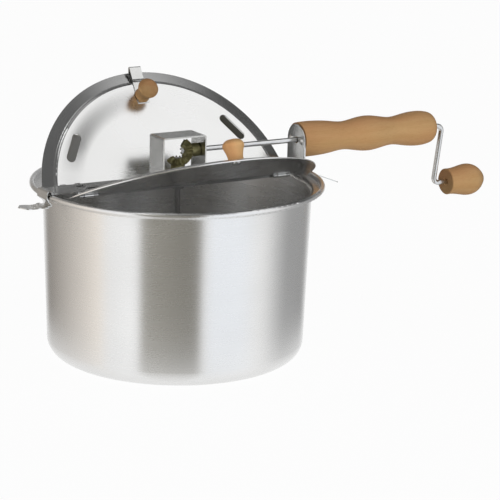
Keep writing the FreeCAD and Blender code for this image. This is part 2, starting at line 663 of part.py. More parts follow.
def make_knob_screw(label, side):
    """Pan head screw from under the lid into the knob."""
    low = PANEL_TOP - d.lid_sheet
    head, shank, point = d.screw_head_radius, d.screw_radius, d.screw_radius / 2
    depth, length = d.screw_head_depth, d.knob_height * 0.58
    nodes = [(0, -depth), (head - depth / 2, -depth), (head, -depth / 2), (head, 0), (shank, 0),
             (shank, length - point), (shank - point, length), (0, length)]
    place = FreeCAD.Placement(V(knob_x(side), side * KNOB_Y, low), FreeCAD.Rotation())
    turned(label, nodes, hinged(place, side))


def make_catch():
    """Spring strip under the rear knob: dips to the lid's edge, folds back over the bead."""
    body = new_body("rear_lid_catch")
    half = d.catch_sheet / 2
    base = PANEL_TOP + half
    dip = BAND_LOW + d.lid_sheet + d.catch_gap + half
    tip_x = PANEL_RADIUS + d.lid_bevel + d.catch_tip
    path = [
        (KNOB_Y - d.catch_tail, base), (PANEL_RADIUS + 0.4, base, 3.0),
        (LID_RADIUS - 1.5, dip, 2.0),
        (d.rim_radius + 0.6, BEAD_TOP + d.catch_crown, d.catch_fold),
        (tip_x, BEAD_TOP + d.catch_crown / 2, 1.0), (tip_x - d.catch_tip, BEAD_TOP + 1.5),
    ]
    middle = knob_x(1)
    pad(body, outline(body, "catch_section", "YZ_Plane", strip(path, d.catch_sheet), shift(middle)),
        "Dims.catch_width", symmetric=True)
    pocket(body, circle(body, "catch_hole", "XY_Plane", middle, KNOB_Y,
                        SCREW_HOLE), THROUGH, reverse=True)
    body.Placement = hinged(FreeCAD.Placement(), 1)


# ---------------------------------------------------------------- gear bracket
def make_gear_frame():
    """Inverted U strip on the bridge with inward feet; the crank runs through one leg."""
    body = new_body("gear_bracket")
    half = d.bridge_sheet / 2
    x, top, low = d.frame_half_length - half, FRAME_TOP - half, BRIDGE_TOP + half
    foot = d.frame_half_length - d.frame_foot
    path = [(-foot, low), (-x, low, d.bridge_bend), (-x, top, d.bridge_bend), (x, top, d.bridge_bend),
            (x, low, d.bridge_bend), (foot, low)]
    pad(body, outline(body, "gear_bracket_section", "XZ_Plane", strip(path, d.bridge_sheet)),
        "2 * Dims.frame_half_width", symmetric=True)
    pocket(body, circle(body, "crank_bearing", "YZ_Plane", 0, CRANK_Z,
                        "Dims.rod_radius + Dims.hinge_play"),
           "2 * Dims.frame_half_length", reverse=True)
    for i, (px, py) in enumerate(frame_rivet_places()):
        pocket(body, circle(body, "foot_hole_%d" % i, "XY_Plane", px, py,
                            RIVET_HOLE),
               "Dims.rim_height + Dims.crank_height", reverse=True)
    # tooling holes left by the press: one at each end of the top, one low in the closed leg
    high = shift(CRANK_Z)
    for side in (1, -1):
        pip = circle(body, "top_pip_%d" % (side + 1), "XY_Plane", side * (d.frame_half_length - 3.2),
                     d.frame_half_width / 2, "Dims.frame_pip_radius", high)
        pocket(body, pip, "Dims.frame_half_length", reverse=True)
    pip = circle(body, "leg_pip", "YZ_Plane", d.frame_half_width - 2.5, BRIDGE_TOP + 8.0,
                 "Dims.frame_pip_radius")
    pocket(body, pip, "2 * Dims.frame_half_length")


def make_frame_rivets():
    group("gear_bracket_rivets", [rivet(x, y) for x, y in frame_rivet_places()])
    group("handle_bracket_rivets", [rivet(x, y) for x, y in plate_rivet_places()])


# ---------------------------------------------------------------- mitre gears
def make_mitre_gear(label, bore, hub_radius, hub_end, place):
    """45 degree bevel gear, own apex at the origin, teeth tapering towards the apex."""
    pitch, low = d.gear_pitch_radius, d.gear_dedendum / math.sqrt(2)
    cone = pitch * math.sqrt(2)
    shrink = (cone - d.gear_face) / cone
    r_big, z_big = pitch - low, -pitch - low
    r_small, z_small = r_big * shrink, z_big * shrink
    hub_top = z_big - (r_big - hub_radius) * 0.7
    edge = 0.5
    blank = [(bore, z_small), (r_small, z_small), (r_big, z_big), (hub_radius, hub_top),
             (hub_radius, hub_end + edge), (hub_radius - edge, hub_end), (bore, hub_end)]
    sides = [side.toShape() for side in rounded(blank)]
    profile = Part.Face(Part.Wire(Part.sortEdges(sides)[0]))
    profile.rotate(V(0, 0, 0), V(1, 0, 0), 90)
    gear = profile.revolve(V(0, 0, 0), V(0, 0, 1), 360)
    width = 2 * math.pi * pitch / d.gear_teeth * d.gear_tooth_share
    wires = []
    for scale in (1.0, shrink):
        foot = -(d.gear_dedendum + 0.5) * scale
        tip = d.gear_addendum * scale
        nodes = [(foot, -0.82 * width * scale), (tip, -0.24 * width * scale),
                 (tip, 0.24 * width * scale), (foot, 0.82 * width * scale)]
        wire = Part.makePolygon([V(x, y, 0) for x, y in nodes + nodes[:1]])
        wire.Placement = FreeCAD.Placement(V(pitch * scale, 0, -pitch * scale),
                                           FreeCAD.Rotation(V(0, 1, 0), -45))
        wires.append(wire)
    tooth = Part.makeLoft(wires, True, True)
    teeth = []
    for i in range(int(d.gear_teeth)):
        copy = tooth.copy()
        copy.rotate(V(0, 0, 0), V(0, 0, 1), i * 360.0 / d.gear_teeth)
        teeth.append(copy)
    hole = Part.makeCylinder(d.set_screw_radius + d.hole_fit, 2 * pitch,
                             V(0, 0, hub_end + d.set_screw_place), V(-1, 0, 0))
    feature = doc.addObject("Part::Feature", label)
    feature.Label = label
    feature.Shape = gear.fuse(teeth).removeSplitter().cut(hole)
    feature.Placement = place
    PARTS.append(feature)
    return feature


def gear_places():
    crank = FreeCAD.Placement(V(0, 0, CRANK_Z), FreeCAD.Rotation(V(0, 1, 0), -90))
    half_tooth = FreeCAD.Rotation(V(0, 0, 1), 180.0 / d.gear_teeth)
    return crank, FreeCAD.Placement(V(0, 0, CRANK_Z), half_tooth)


def make_gears():
    crank, stirrer = gear_places()
    crank_end = -(d.frame_half_length - d.bridge_sheet - 0.3)
    stirrer_end = -(CRANK_Z - BRIDGE_TOP - 2.1)
    make_mitre_gear("crank_gear", d.rod_radius + d.seat_fit, d.crank_hub_radius, crank_end, crank)
    make_mitre_gear("stirrer_gear", d.shaft_radius + d.seat_fit, d.stirrer_hub_radius, stirrer_end, stirrer)
    for label, place, end, bore, hub in (
            ("crank_gear_screw", crank, crank_end, d.rod_radius, d.crank_hub_radius),
            ("stirrer_gear_screw", stirrer, stirrer_end, d.shaft_radius, d.stirrer_hub_radius)):
        length = hub - bore - 0.05
        thread, socket = d.set_screw_radius, d.set_screw_radius / 2
        nodes = [(0, 0), (thread, 0), (thread, length), (socket, length),
                 (socket, length - socket), (0, length - 1.2 * socket)]
        spot = FreeCAD.Placement(V(-bore - 0.03, 0, end + d.set_screw_place),
                                 FreeCAD.Rotation(V(0, 1, 0), -90))
        turned(label, nodes, place.multiply(spot))


# ---------------------------------------------------------------- bent rods
def bent_rod(label, role, path, start_role, start, centre, radius):
    """Round rod swept along straight runs joined by tangent bends."""
    body = new_body(label)
    spine = new_sketch(body, label + "_path", role)
    closed = rounded(path)
    ends = (V(*path[0][:2], 0), V(*path[-1][:2], 0))
    for edge in closed:
        span = [edge.StartPoint, edge.EndPoint]
        if not (span[0].isEqual(ends[1], 1e-6) and span[1].isEqual(ends[0], 1e-6)):
            spine.addGeometry(edge, False)
    section = circle(body, label + "_section", start_role, centre[0], centre[1], radius, shift(start))
    pipe = body.newObject("PartDesign::AdditivePipe", label + "_pipe")
    pipe.Profile = section
    pipe.Spine = spine
    doc.recompute()
    return body


def make_crank():
    z, low = CRANK_Z, CRANK_Z - d.crank_throw
    path = [(d.crank_start, z), (CRANK_BEND_X, z, d.crank_bend_radius),
            (CRANK_LOW_X, low, d.crank_bend_radius), (CRANK_TIP_X, low)]
    bent_rod("crank_rod", "XZ_Plane", path, "YZ_Plane", d.crank_start, (0, z), "Dims.rod_radius")


def make_crank_knob():
    """Turned wooden knob, flat towards the crank, free to spin on the rod."""
    body = new_body("crank_knob")
    bore, length = d.rod_radius + PLAY, d.crank_knob_length
    neck, wide, seat = d.crank_knob_neck, d.crank_knob_radius, crank_knob_seat()
    recess, lip, edge, mouth = 5.2, 6.2, 0.6, 1.4
    curve = Part.BSplineCurve()
    curve.interpolate([V(radius, length * share, 0) for radius, share in (
        (neck, edge / length), (neck + 0.1, 0.18), (neck + 1.3, 0.37), (wide - 0.1, 0.53),
        (wide, 0.63), (wide - 1.1, 0.76), (wide * 0.80, 0.85), (wide * 0.60, 0.94), (lip, 1))])
    sketch = new_sketch(body, "crank_knob_profile", "XZ_Plane")
    corners = [(lip, length), (recess, length), (recess, seat), (bore, seat), (bore, mouth),
               (bore + mouth, 0), (neck - edge, 0), (neck, edge)]
    draw(sketch, [curve] + lines(corners))
    revolve(body, sketch)
    low = CRANK_Z - d.crank_throw
    body.Placement = along_x(CRANK_KNOB_X, low)
    grip, rim, thick = d.rod_radius + d.seat_fit, recess - 0.6, 2.2
    nut = [(grip, 0), (rim, 0), (rim, thick / 2), (grip + thick / 2, thick), (grip, thick)]
    turned("knob_push_nut", nut, along_x(CRANK_KNOB_X + seat + 0.3, low))


def crank_knob_seat():
    return CRANK_TIP_X - CRANK_KNOB_X - 3.4


# ---------------------------------------------------------------- handle
def make_handle():
    """Turned handle with three swells and two waists, bored for the crank rod."""
    body = new_body("handle")
    sketch = new_sketch(body, "handle_profile", "XZ_Plane")
    bore, length, bulge, waist = d.rod_radius + 0.3, d.handle_length, d.handle_bulge, d.handle_waist
    face, end = bulge - 0.5, bulge - 5.0
    curve = Part.BSplineCurve()
    curve.interpolate([V(radius, length * share, 0) for radius, share in (
        (face, 0), (bulge - 0.2, 0.105), (bulge - 1.6, 0.226), (waist, 0.325),
        (bulge - 1.4, 0.415), (bulge, 0.506), (bulge - 1.5, 0.598), (waist, 0.688),
        (bulge - 1.2, 0.787), (bulge, 0.895), (bulge - 0.9, 0.953), (bulge - 2.6, 0.985), (end, 1))])
    draw(sketch, [curve] + lines([(end, length), (bore, length), (bore, 0), (face, 0)]))
    revolve(body, sketch)
    for side in (1, -1):
        hole = circle(body, "handle_pilot_%d" % (side + 1), "XY_Plane",
                      0, side * d.handle_screw_offset, SCREW_HOLE)
        pocket(body, hole, "Dims.handle_screw_length + 3", reverse=True)
    body.Placement = along_x(HANDLE_X0, CRANK_Z)


def make_handle_bracket():
    """Angle plate: foot riveted to the bridge, arched plate screwed to the handle."""
    body = new_body("handle_bracket")
    half = d.bridge_sheet / 2
    mid = PLATE_X + half
    path = [(PLATE_X - d.plate_foot, BRIDGE_TOP + half), (mid, BRIDGE_TOP + half, d.bridge_bend),
            (mid, CRANK_Z + d.plate_half_width)]
    pad(body, outline(body, "plate_section", "XZ_Plane", strip(path, d.bridge_sheet)),
        "2 * Dims.plate_half_width", symmetric=True)
    wide, top = d.plate_half_width, CRANK_Z + d.plate_half_width
    over = wide + 3
    arch = [(-over, CRANK_Z - 4), (-wide, CRANK_Z - 4), (-wide, top, wide - 0.01),
            (wide, top, wide - 0.01), (wide, CRANK_Z - 4), (over, CRANK_Z - 4),
            (over, top + 3), (-over, top + 3)]
    pocket(body, outline(body, "plate_arch", "YZ_Plane", arch), "2 * Dims.rim_radius", reverse=True)
    narrow = d.bridge_end_half_width
    for side in (1, -1):
        x0, x1 = PLATE_X - d.plate_foot - 1, PLATE_X - 3
        trim = [(x0, side * narrow), (x1, side * narrow, 3), (x1, side * (wide + 2)),
                (x0, side * (wide + 2))]
        pocket(body, outline(body, "foot_trim_%d" % (side + 1), "XY_Plane", trim),
               THROUGH, reverse=True)
        screw = circle(body, "plate_screw_hole_%d" % (side + 1), "YZ_Plane",
                       side * d.handle_screw_offset, CRANK_Z, SCREW_HOLE)
        pocket(body, screw, "2 * Dims.rim_radius", reverse=True)
    hole = circle(body, "plate_rod_hole", "YZ_Plane", 0, CRANK_Z,
                  "Dims.rod_radius + Dims.rod_hole_gap")
    pocket(body, hole, "2 * Dims.rim_radius", reverse=True)
    for i, (x, y) in enumerate(plate_rivet_places()):
        hole = circle(body, "plate_rivet_hole_%d" % i, "XY_Plane", x, y, RIVET_HOLE)
        pocket(body, hole, THROUGH, reverse=True)


def make_handle_screws():
    """Two pan head wood screws through the plate into the handle."""
    screws = []
    for side in (1, -1):
        centre = V(PLATE_X, side * d.handle_screw_offset, CRANK_Z)
        shank = Part.makeCylinder(d.screw_radius, d.handle_screw_length, centre, V(1, 0, 0))
        rim = d.handle_screw_head
        ball = Part.makeSphere(1.25 * rim, centre + V(0.75 * rim, 0, 0))
        head = ball.common(Part.makeCylinder(rim, rim, centre, V(-1, 0, 0)))
        screws.append(shank.fuse(head).removeSplitter())
    group("handle_screws", screws)


# ---------------------------------------------------------------- stirrer
def make_stirrer():
    floor = d.pot_wall
    base_low = floor + d.hub_floor_gap
    long_z = floor + d.wire_floor_gap + d.wire_radius
    short_z = long_z + d.wire_spacing
    shaft_low = short_z + d.wire_radius + 0.4
    base_top = base_low + d.stirrer_base_height
    shaft_top = CRANK_Z - d.gear_pitch_radius * 0.6
    edge = 0.4
    turned("stirrer_shaft", [
        (0, shaft_low), (d.shaft_radius, shaft_low), (d.shaft_radius, shaft_top - edge),
        (d.shaft_radius - edge, shaft_top), (0, shaft_top)])
    seat = d.shaft_radius + d.seat_fit
    base = turned("stirrer_hub", [
        (0, base_low), (d.stirrer_base_radius / 2, base_low), (d.stirrer_base_radius, base_low + 1.6),
        (d.stirrer_base_radius, base_top - edge), (d.stirrer_base_radius - edge, base_top),
        (seat, base_top), (seat, shaft_low - d.seat_fit), (0, shaft_low - d.seat_fit)])
    for name, role, z in (("long_wire_hole", "YZ_Plane", long_z),
                          ("short_wire_hole", "XZ_Plane", short_z)):
        hole = circle(base, name, role, 0, z, "Dims.wire_radius + Dims.seat_fit")
        pocket(base, hole, "4 * Dims.stirrer_base_radius", symmetric=True)
    bend = 3 * d.wire_radius
    for label, role, reach, z, start in (
            ("stirrer_wire_long", "XZ_Plane", WIRE_REACH, long_z, (-WIRE_REACH, 0)),
            ("stirrer_wire_short", "YZ_Plane", d.wire_short_reach, short_z, (0, -d.wire_short_reach))):
        up = z + d.wire_upturn
        path = [(-reach, up), (-reach, z, bend), (reach, z, bend), (reach, up)]
        bent_rod(label, role, path, "XY_Plane", up, start, "Dims.wire_radius")
    bush_in, bush_out = d.shaft_radius + PLAY, d.shaft_radius + d.bush_wall
    flange, bush_low, bush_top = bush_out + d.bush_flange, BRIDGE_LOW - 1.5, BRIDGE_TOP + 1.8
    turned("shaft_bush", [
        (bush_in, bush_low), (bush_out, bush_low), (bush_out, BRIDGE_TOP), (flange, BRIDGE_TOP),
        (flange, bush_top - edge), (flange - edge, bush_top), (bush_in, bush_top)])
    collar_top = bush_low - 0.3
    collar_low, rim = collar_top - d.collar_height, d.collar_radius
    turned("shaft_collar", [
        (seat, collar_low), (rim - edge, collar_low), (rim, collar_low + edge),
        (rim, collar_top - edge), (rim - edge, collar_top), (seat, collar_top)])


# ---------------------------------------------------------------- rim clips
def make_clip(label, side, tab_x, rise, drop):
    """Sheet clip: hangs from its pin over the bead, hooks under it, ends in a thumb tab."""
    body = new_body(label)
    half = d.clip_sheet / 2
    out = d.rim_radius + d.bead_radius + d.clip_gap + half
    crown = CLIP_Z + d.clip_barrel_radius - half
    lip_x = d.rim_radius - d.clip_lip_inset
    lip_z = d.rim_height - d.bead_radius - d.clip_lip_drop
    path = [
        (side * CLIP_X, crown), (side * out, crown, 1.9), (side * out, d.rim_height - 1.3, 1.2),
        (side * lip_x, lip_z, 0.6), (side * (lip_x + d.tab_root), lip_z + rise, 6.0),
        (side * tab_x, lip_z + rise - drop),
    ]
    pad(body, outline(body, label + "_section", "XZ_Plane", strip(path, d.clip_sheet)),
        "2 * Dims.clip_half_width", symmetric=True)
    wide, tab = d.clip_half_width, d.tab_half_width
    over = wide + 2
    neck_x, root_x = lip_x + 10, out + d.clip_sheet
    for flank in (1, -1):
        trim = [(side * (root_x - 1.0), flank * over), (side * root_x, flank * wide, 1.0),
                (side * neck_x, flank * (tab - d.tab_neck_inset), 6.0),
                (side * (tab_x - 8), flank * tab, 4.0),
                (side * (tab_x - 4), flank * tab, 4.0), (side * (tab_x - 0.3), flank * 1.0, 3.0),
                (side * (tab_x + 2), flank * 0.6), (side * (tab_x + 2), flank * over)]
        pocket(body, outline(body, "%s_trim_%d" % (label, flank + 1), "XY_Plane", trim),
               THROUGH, reverse=True)
    # the strip above the bead narrows to one barrel between the bridge's two
    inner = d.clip_barrel_half
    for flank in (1, -1):
        x0, x1 = CLIP_X - 4, out - 1.6
        notch = [(side * x0, flank * inner), (side * x1, flank * inner, 0.4),
                 (side * x1, flank * over), (side * x0, flank * over)]
        pocket(body, outline(body, "%s_notch_%d" % (label, flank + 1), "XY_Plane", notch),
               THROUGH, reverse=True)
    pad(body, circle(body, label + "_barrel", "XZ_Plane", side * CLIP_X, CLIP_Z,
                     "Dims.clip_barrel_radius"), "2 * Dims.clip_barrel_half", symmetric=True)
    pocket(body, circle(body, label + "_bore", "XZ_Plane", side * CLIP_X, CLIP_Z,
                        "Dims.clip_pin_radius + Dims.hinge_play"), "2 * Dims.clip_half_width",
           symmetric=True)


# ---------------------------------------------------------------- build and write
def build():
    make_pot()
    make_bridge()
    make_pins()
    make_lid("rear_lid", 1)
    make_lid("front_lid", -1)
    make_lid_knob("rear_lid_knob", 1, PANEL_TOP + d.catch_sheet)
    make_lid_knob("front_lid_knob", -1, PANEL_TOP)
    make_knob_screw("rear_knob_screw", 1)
    make_knob_screw("front_knob_screw", -1)
    make_catch()
    make_gear_frame()
    make_frame_rivets()
    make_gears()
    make_crank()
    make_crank_knob()
    make_handle()
    make_handle_bracket()
    make_handle_screws()
    make_stirrer()
    make_clip("left_clip", -1, d.rim_radius + d.left_tab_reach, d.left_root_rise, d.left_tab_drop)
    make_clip("right_clip", 1, d.rim_radius + d.right_tab_reach, d.right_root_rise, d.right_tab_drop)


def check_and_write():
    doc.recompute()
    for obj in doc.Objects:
        if "Invalid" in obj.State or "Error" in obj.State:
            raise RuntimeError("%s failed: %s" % (obj.Name, obj.State))
    os.makedirs("parts", exist_ok=True)
    for part in PARTS:
        shape = part.Shape
        if shape.isNull() or not shape.isValid():
            raise RuntimeError("%s has no valid shape" % part.Label)
        print("%-24s solids %d volume %.1f" % (part.Label, len(shape.Solids), shape.Volume))
        shape.exportStep(os.path.join("parts", part.Label + ".step"))


build()
check_and_write()
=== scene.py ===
import json
import math

import bpy
from mathutils import Matrix, Vector


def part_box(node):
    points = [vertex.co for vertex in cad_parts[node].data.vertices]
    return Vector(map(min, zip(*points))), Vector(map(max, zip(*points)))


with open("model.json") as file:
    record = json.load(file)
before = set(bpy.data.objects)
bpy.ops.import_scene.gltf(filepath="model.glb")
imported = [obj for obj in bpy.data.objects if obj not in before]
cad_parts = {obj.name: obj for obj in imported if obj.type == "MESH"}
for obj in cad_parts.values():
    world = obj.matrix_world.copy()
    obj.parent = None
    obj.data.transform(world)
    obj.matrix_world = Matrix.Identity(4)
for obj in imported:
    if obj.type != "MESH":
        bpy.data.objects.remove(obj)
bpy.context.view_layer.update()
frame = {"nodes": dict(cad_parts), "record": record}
NODES = frame["nodes"]

# ---------------------------------------------------------------- camera
VIEW_AZIMUTH = math.radians(-29.137)      # from straight in front, towards the crank end if positive
VIEW_ELEVATION = math.radians(12.745)
VIEW_ROLL = math.radians(0.995)
VIEW_DISTANCE = 1.6708                    # metres from the aim
AIM = Vector((0.0, 0.0, 0.1478))          # centre of the pot's rim
AIM_PIXEL = (176.449, 182.940)            # where the aim falls in the picture
PICTURE = 500                             # pixels on each side
FOCAL_PIXELS = 1984.2
SENSOR = 36.0                             # mm

# ---------------------------------------------------------------- floor and lamps
WHITE = (1.0, 1.0, 1.0, 1.0)
FLOOR_RADIUS, FLOOR_SIDES = 6.0, 96
FLOOR_PALE = (0.93, 0.93, 0.93, 1.0)
FLOOR_GLOW = 0.96                         # share of plain white in the floor that is seen
TABLE_FADE = (0.10, 0.20)                 # metres from the pot's axis where metal stops seeing the table
LAMPS = (                                 # name, place, aim, side in metres, watts
    ("key_lamp", (-0.95, -1.55, 0.31), (0.0, 0.0, 0.12), 0.55, 10.0),
    ("fill_lamp", (0.95, -1.55, 0.31), (0.05, 0.0, 0.12), 0.60, 3.5))

# ---------------------------------------------------------------- room seen in the metal
BACKDROP_TURN = (0.04, 0.09)              # share of a full turn from straight behind where the backdrop ends
BACKDROP_TOP = (0.03, 0.10)               # sine of the elevation where it ends
ROSE, WARM = (1.075, 1.0, 0.92), (1.05, 1.0, 0.88)
PLAIN, COOL = (1.0, 1.0, 1.0), (0.97, 1.0, 1.045)
ROOM = (                                  # degrees right of the camera, level, tint
    (-180, 0.40, PLAIN), (-150, 0.26, ROSE), (-134, 0.34, ROSE), (-110, 0.49, ROSE), (-88, 0.68, ROSE),
    (-70, 0.90, ROSE), (-62, 0.96, PLAIN), (-40, 1.04, PLAIN), (-34, 0.98, PLAIN), (-28, 0.30, WARM),
    (-12, 0.29, WARM), (8, 0.24, WARM), (19, 0.23, WARM), (25, 0.92, PLAIN), (32, 1.01, COOL),
    (60, 0.98, COOL), (77, 0.93, PLAIN), (86, 0.83, PLAIN), (97, 0.60, PLAIN), (110, 0.40, PLAIN),
    (150, 0.34, PLAIN), (180, 0.40, PLAIN))
PATCHES = (                               # degrees right of the camera, elevation, radius, edge, level
    (38.0, 72.0, 16.0, 6.0, 0.10),        # dark over the camera
    (-26.0, 41.0, 7.0, 4.0, 2.4),         # bright, for the handle bracket
    (-12.0, 50.0, 8.0, 4.0, 0.12),        # dark, for the gear bracket
    (124.0, 46.0, 20.0, 8.0, 0.05),       # dark beside the right box, for the open lid's band
    (75.0, 44.0, 11.0, 5.0, 1.14),        # bright top of the right box, for the open lid's panel
    (88.0, 55.0, 7.0, 5.0, 1.14))
CEILING = (0.58, 0.66)                    # sine of the elevation where the ceiling begins
SKYLIGHT = (0.965, 0.985)                 # and where the light in it begins
CEILING_LEVEL, SKYLIGHT_LEVEL = 0.12, 1.4

# ---------------------------------------------------------------- metal finishes
# Tones are places in a noise with their colours. Roughness is the least and the most.
# A relief is the bump's strength and its height in metres.
POT_TONES = ((0.25, (0.80, 0.80, 0.795)), (0.75, (0.90, 0.90, 0.895)))
POT_BRUSHING = (1.6, 2600.0)              # noise scale per radian round the pot and per metre up it
POT_SCRATCHES = (2.2, 190.0)
POT_CLOUDS = 14.0
POT_BRUSHED_SHARE = 0.35                  # of the brushing in the tone, with clouds for the rest
POT_ROUGHNESS, POT_RELIEF = (0.25, 0.30), (0.10, 0.00004)
POT_ANISOTROPY, POT_BRUSH_TURN = 0.93, 0.25

SHEET_TONES = ((0.3, (0.85, 0.85, 0.84)), (0.7, (0.91, 0.91, 0.905)))
SHEET_ROLLING = (9.0, 1400.0, 1400.0)     # noise scale along and across the way the sheet was rolled
SHEET_SMUDGES = 22.0
SHEET_ROLLED_SHARE = 0.15                 # of the rolling in the roughness, with smudges for the rest
SHEET_ROUGHNESS, SHEET_RELIEF = (0.24, 0.30), (0.03, 0.0003)
BRIDGE_SHADE = 0.66                       # painted shade: the bridge's sheet is darker than the lids'

# The open rear lid, in metres from the middle of its straight edge.
DISH_FROM, DISH_TO, DISH_DEPTH = 0.080, 0.103, 0.0018     # its panel dips towards the bevel
DISH_REACH = (                            # angle over half a turn, 0 right and 1 left, and share of the dip
    (0.0, 0.15), (0.45, 0.15), (0.56, 1.0), (0.80, 1.0), (0.90, 0.2))
BAND_FROM, BAND_GLOSS = 0.105, 0.10       # its outer band is smoother than its panel
TONGUE_TILT = (                           # cosine to the lid's normal that only the vents' tongues have
    (0.915, 0.0), (0.925, 1.0), (0.955, 1.0), (0.965, 0.0))
VENTS_FROM = 0.030                        # metres outwards from the straight edge
VENT_SHADE = (0.13, 0.125, 0.105, 1.0)          # painted shade where the vents open under the panel
VENT_SHADE_ROUGHNESS = 0.3                      # added where the vents' shade is painted
THIN_VENT_SHADE = 0.62                          # share of the painted shade in the vent away from the handle

STEEL_TONES = ((0.3, (0.65, 0.65, 0.635)), (0.7, (0.72, 0.72, 0.71)))
STEEL_GRAIN, STEEL_PATCHES = (1500.0, 120.0, 120.0), 90.0
STEEL_ROUGHNESS, STEEL_RELIEF = (0.20, 0.30), (0.05, 0.00002)

ROD_TONES = ((0.3, (0.68, 0.68, 0.68)), (0.7, (0.76, 0.76, 0.76)))
ROD_PATCHES = 160.0
ROD_ROUGHNESS, ROD_RELIEF = (0.18, 0.28), (0.05, 0.0001)

GEAR_TONES = ((0.3, (0.22, 0.20, 0.090)), (0.7, (0.42, 0.39, 0.21)))
GEAR_GRAINS, GEAR_STAINS = 2400.0, 260.0
GEAR_METALLIC = 0.85
GEAR_ROUGHNESS, GEAR_RELIEF = (0.38, 0.62), (0.25, 0.00005)

# ---------------------------------------------------------------- wood
WOOD_TONES = ((0.25, (0.46, 0.245, 0.098)), (0.50, (0.55, 0.310, 0.142)), (0.75, (0.63, 0.380, 0.195)))
WOOD_DRIFT = (7.0, 34.0, 34.0)            # noise scales along and across the grain
WOOD_FIGURE = (8.0, 150.0, 150.0)
WOOD_FIBRES = (30.0, 1300.0, 1300.0)
WOOD_PORES = (140.0, 3000.0, 3000.0)
FIGURE_SHARE, FIBRES_SHARE, DRIFT_SHARE = 0.40, 0.25, 0.35
PORE_TONES = ((0.30, (0.74, 0.69, 0.63)), (0.40, (1.0, 1.0, 1.0)))
PORE_SHARE = 0.5
WOOD_HUES = ((0.35, (1.05, 0.97, 0.99)), (0.65, (0.97, 1.03, 0.98)))
END_FROM, END_MIDDLE = 0.20, (0.60, 0.84) # wood darkens as its face turns to the grain, the end grain's own tone with painted shade on top: cosine and tone
END_FULL = 0.98
HANDLE_END, LID_KNOB_END = 0.52, 0.86     # how dark it gets where the grain ends, partly painted shade
KNOB_LIGHT_AND_SHADE = {"front_lid_knob": 1.28, "rear_lid_knob": 0.80}       # painted light on the front knob and painted shade on the rear one, paler and darker than the handle's wood
WOOD_ROUGHNESS, WOOD_RELIEF = (0.54, 0.66), (0.08, 0.00005)
WOOD_SPECULAR = 0.15


# ================================================================ node graphs
class Graph:
    """A material's or the world's node tree, filled by short calls."""

    def __init__(self, owner):
        owner.use_nodes = True
        self.tree = owner.node_tree
        self.tree.nodes.clear()

    def add(self, kind, settings=None, **sockets):
        """A new node; a socket is named by its label, or by i and its number where labels repeat."""
        made = self.tree.nodes.new(kind)
        for name, value in (settings or {}).items():
            setattr(made, name, value)
        for name, value in sockets.items():
            self.put(made, name, value)
        return made

    def put(self, made, name, value):
        key = int(name[1:]) if name[0] == "i" and name[1:].isdigit() else name.replace("_", " ")
        socket = made.inputs[key]
        if isinstance(value, bpy.types.NodeSocket):
            self.tree.links.new(value, socket)
        else:
            socket.default_value = value

    def math(self, operation, a, b=0.0):
        return self.add("ShaderNodeMath", {"operation": operation}, i0=a, i1=b).outputs[0]

    def times(self, a, b):
        return self.math("MULTIPLY", a, b)

    def plus(self, a, b):
        return self.math("ADD", a, b)

    def vector(self, x, y, z):
        return self.add("ShaderNodeCombineXYZ", None, X=x, Y=y, Z=z).outputs[0]

    def apart(self, coordinates):
        return self.add("ShaderNodeSeparateXYZ", None, Vector=coordinates).outputs

    def minus(self, a, b):
        return self.add("ShaderNodeVectorMath", {"operation": "SUBTRACT"}, i0=a, i1=b).outputs[0]

    def dot(self, a, b):
        return self.add("ShaderNodeVectorMath", {"operation": "DOT_PRODUCT"}, i0=a, i1=b).outputs["Value"]

    def length(self, a):
        return self.add("ShaderNodeVectorMath", {"operation": "LENGTH"}, i0=a).outputs["Value"]

    def ramp(self, factor, stops):
        """Stops are a place with a colour or with a single grey level."""
        made = self.add("ShaderNodeValToRGB", None, Fac=factor)
        elements = made.color_ramp.elements
        while len(elements) < len(stops):
            elements.new(0.5)
        for element, (place, colour) in zip(elements, stops):
            element.position = place
            element.color = (*(colour if isinstance(colour, (tuple, list)) else grey(colour)), 1.0)
        return made.outputs["Color"]

    def noise(self, coordinates, scale, detail=2.0, roughness=0.5):
        """Noise at one scale, or at a scale for each axis."""
        if isinstance(scale, tuple):
            mapping = self.add("ShaderNodeMapping", None, Vector=coordinates, Scale=scale)
            coordinates, scale = mapping.outputs["Vector"], 1.0
        made = self.add("ShaderNodeTexNoise", None, Vector=coordinates, Scale=scale, Detail=detail,
                        Roughness=roughness)
        return made.outputs["Fac"]

    def spread(self, value, ends):
        made = self.add("ShaderNodeMapRange", None, Value=value, To_Min=ends[0], To_Max=ends[1])
        return made.outputs["Result"]

    def mixed(self, share, a, b):
        return self.add("ShaderNodeMix", {"data_type": "RGBA"}, i0=share, i6=a, i7=b).outputs[2]

    def tinted(self, share, colour, tint):
        made = self.add("ShaderNodeMix", {"data_type": "RGBA", "blend_type": "MULTIPLY"}, i0=share, i6=colour,
                        i7=tint)
        return made.outputs[2]

    def either(self, share, a, b):
        return self.add("ShaderNodeMixShader", None, Fac=share, i1=a.outputs[0], i2=b.outputs[0])

    def bump(self, height, relief, **sockets):
        strength, distance = relief
        made = self.add("ShaderNodeBump", None, Height=height, Strength=strength, Distance=distance,
                        **sockets)
        return made.outputs["Normal"]


def grey(level):
    return (level, level, level)


def darker(tones, shade):
    return [(place, [shade * part for part in colour]) for place, colour in tones]


def surface(name):
    """A new material with a Principled shader: the material, its graph and the shader."""
    material = bpy.data.materials.new(name)
    graph = Graph(material)
    shader = graph.add("ShaderNodeBsdfPrincipled")
    graph.add("ShaderNodeOutputMaterial", None, Surface=shader.outputs[0])
    return material, graph, shader


def finish(graph, shader, colour, metallic, roughness, normal):
    for name, value in (("Base Color", colour), ("Metallic", metallic), ("Roughness", roughness),
                        ("Normal", normal)):
        graph.put(shader, name, value)


